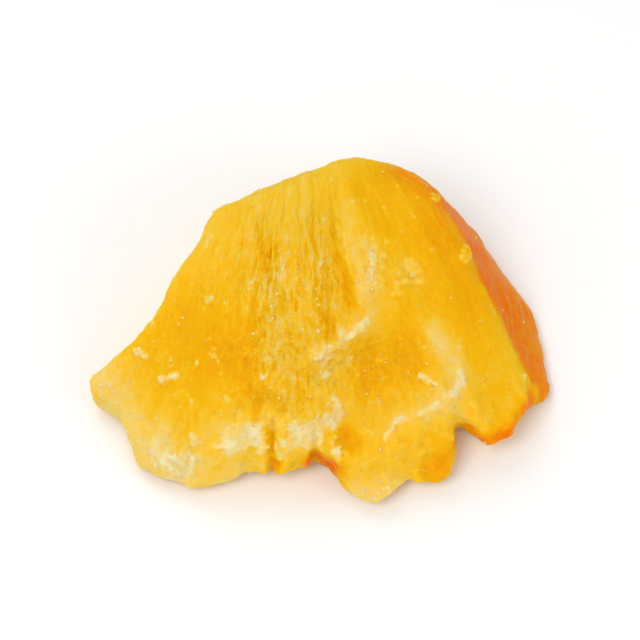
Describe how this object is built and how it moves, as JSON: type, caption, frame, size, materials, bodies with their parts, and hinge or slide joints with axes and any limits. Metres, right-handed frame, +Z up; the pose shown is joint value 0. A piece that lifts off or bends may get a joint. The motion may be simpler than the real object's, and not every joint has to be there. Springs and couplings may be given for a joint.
{
  "type": "dried pineapple piece",
  "caption": "Wedge of candied, dried fruit cut from a ring slice: fibrous upper face, one slanting cut side and a ragged outer rim with soft lobes; it lies flat.",
  "frame": {"origin": "middle of the underside's box, at the height that the piece rests on", "axes": "+X across the wedge along its longest extent, +Y from the ragged rim to the core end, +Z up along the thickness"},
  "size_m": [0.0396, 0.0308, 0.012],
  "materials": {
    "candied_flesh": "satin, translucent, dusted with sugar"
  },
  "bodies": {
    "root": {"pineapple_piece": "candied_flesh"}
  },
  "joints": []
}
